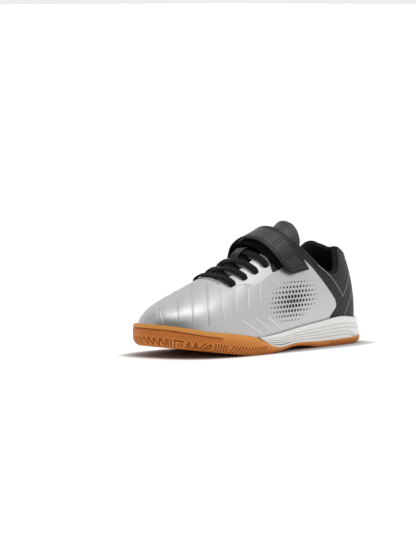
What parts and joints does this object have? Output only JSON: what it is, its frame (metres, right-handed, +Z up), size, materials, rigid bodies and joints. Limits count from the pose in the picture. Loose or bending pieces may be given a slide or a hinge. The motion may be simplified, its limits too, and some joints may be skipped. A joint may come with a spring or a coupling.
{
  "type": "indoor soccer shoe",
  "caption": "Child's indoor soccer shoe for the left foot: hollow silver upper, gum cup sole with a pale foam heel wedge, crossed elastic laces and a folded strap.",
  "frame": {"origin": "on the floor under the middle of the shoe's box", "axes": "+X from heel to toe, +Y to the outer side of the left foot, +Z up"},
  "size_m": [0.231, 0.0876, 0.1025],
  "materials": {
    "silver": "satin metallic synthetic",
    "white_leather": "satin",
    "black_panel": "matte grained",
    "black_cloth": "woven",
    "black_strap": "satin stitched",
    "gum": "satin",
    "foam": "matte moulded foam",
    "grey_plastic": "satin",
    "insole_cloth": "matte"
  },
  "bodies": {
    "root": {"outsole": "gum", "midsole": "foam", "upper": "silver", "insole": "insole_cloth", "tongue": "black_cloth", "eyestay_outer": "white_leather", "eyestay_inner": "white_leather", "heel_panel": "black_panel", "lace_bar_1": "black_cloth", "lace_cross_2": "black_cloth", "lace_cross_3": "black_cloth", "lace_cross_4": "black_cloth", "lace_keeper": "black_panel", "strap": "black_strap", "strap_loop": "grey_plastic"}
  },
  "joints": []
}
